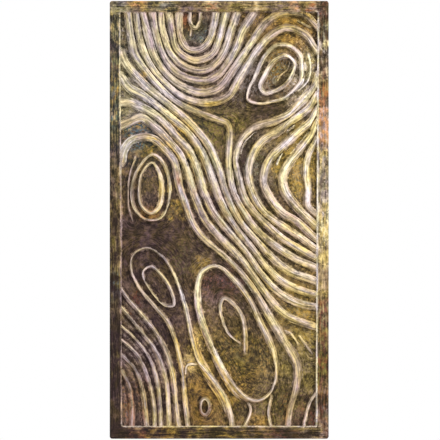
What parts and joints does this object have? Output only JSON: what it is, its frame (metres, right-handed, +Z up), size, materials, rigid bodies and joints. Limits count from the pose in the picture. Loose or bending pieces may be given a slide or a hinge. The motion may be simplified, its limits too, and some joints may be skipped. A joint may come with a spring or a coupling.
{
  "type": "carved wooden wall panel",
  "caption": "Tall carved wooden wall panel: a plain flat border around a sunk field of flowing ridges and knots, like enlarged wood grain.",
  "frame": {"origin": "centre of the flat back face, where the panel meets the wall", "axes": "+Z up along the panel's height, +X to the viewer's right, +Y out of the back into the wall, the carved face to -Y"},
  "size_m": [0.61, 0.038, 1.22],
  "materials": {
    "patinated_wood": "dark brown stain with rubbed cream, gold, copper and olive metallic wax on the high places, satin"
  },
  "bodies": {
    "root": {"carved_panel": "patinated_wood"}
  },
  "joints": []
}
